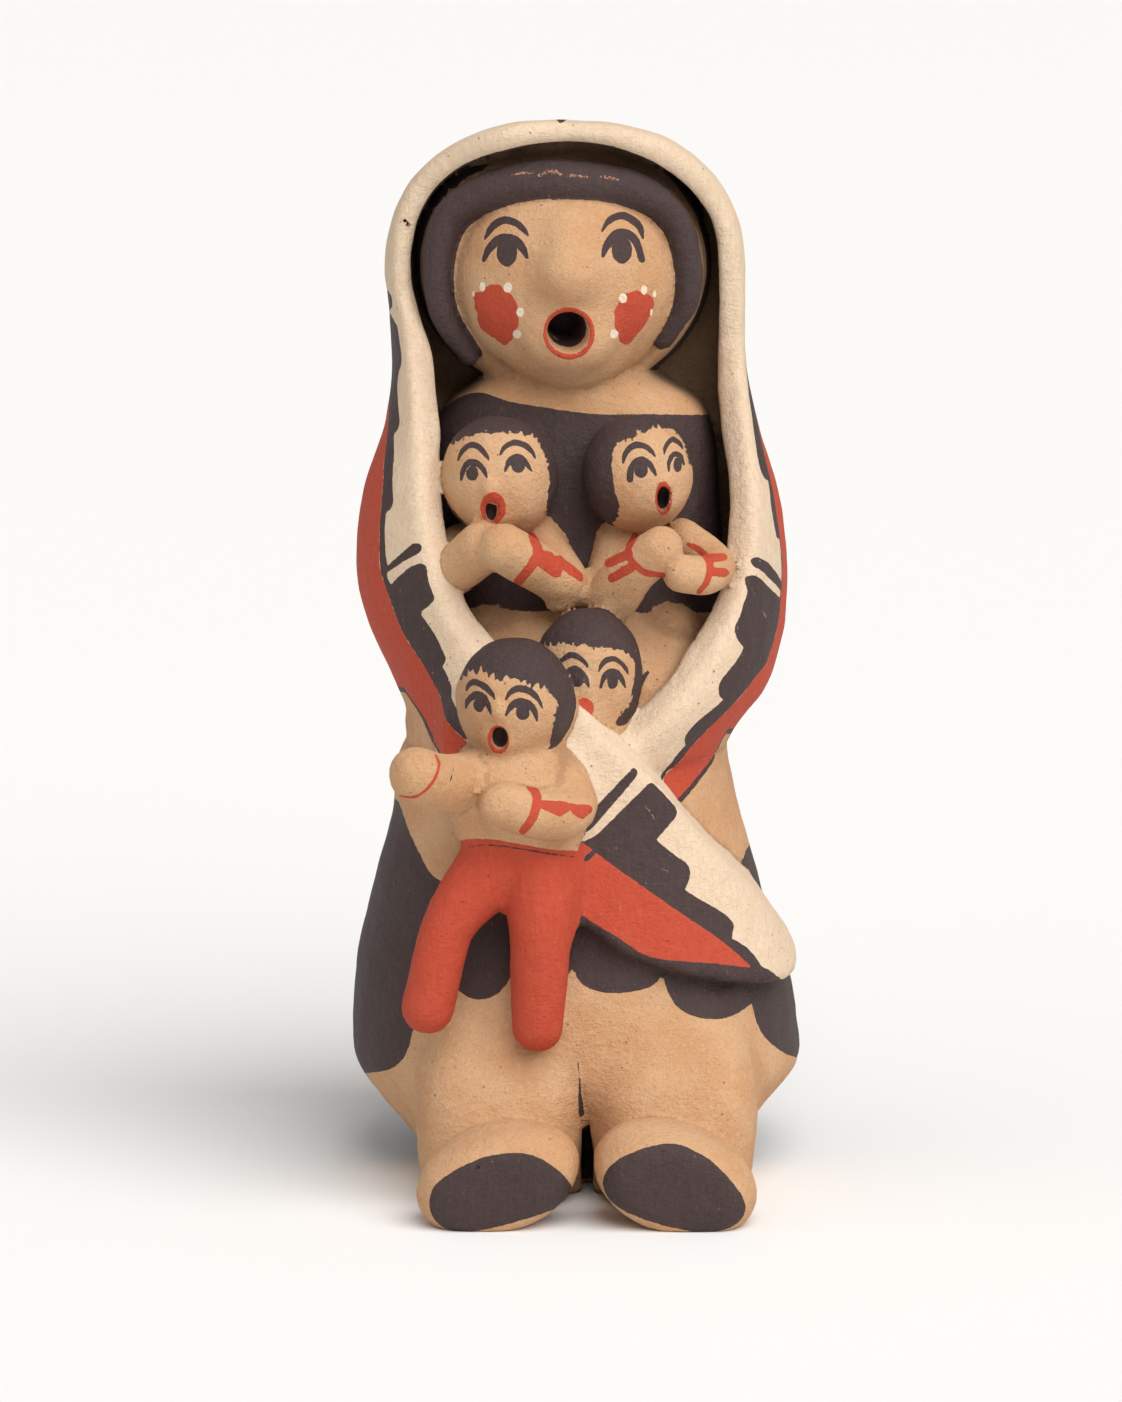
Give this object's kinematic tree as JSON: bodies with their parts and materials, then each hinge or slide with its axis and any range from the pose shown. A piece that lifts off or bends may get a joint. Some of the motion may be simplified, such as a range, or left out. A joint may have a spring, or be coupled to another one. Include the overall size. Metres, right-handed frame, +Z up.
{
  "type": "pueblo storyteller figure",
  "caption": "Seated clay woman in a hooded shawl, mouth open in song, with small singing children held inside the shawl and leaning on her lap.",
  "frame": {"origin": "on the flat underside, below the middle of the seat", "axes": "+Z up along the figure's height, she faces -Y, +X to the right as seen from in front of her"},
  "size_m": [0.1065, 0.1404, 0.25],
  "materials": {
    "painted_clay": "matte hand-painted clay slip in tan, charcoal, cream and red"
  },
  "bodies": {
    "root": {"storyteller_figure": "painted_clay"}
  },
  "joints": []
}
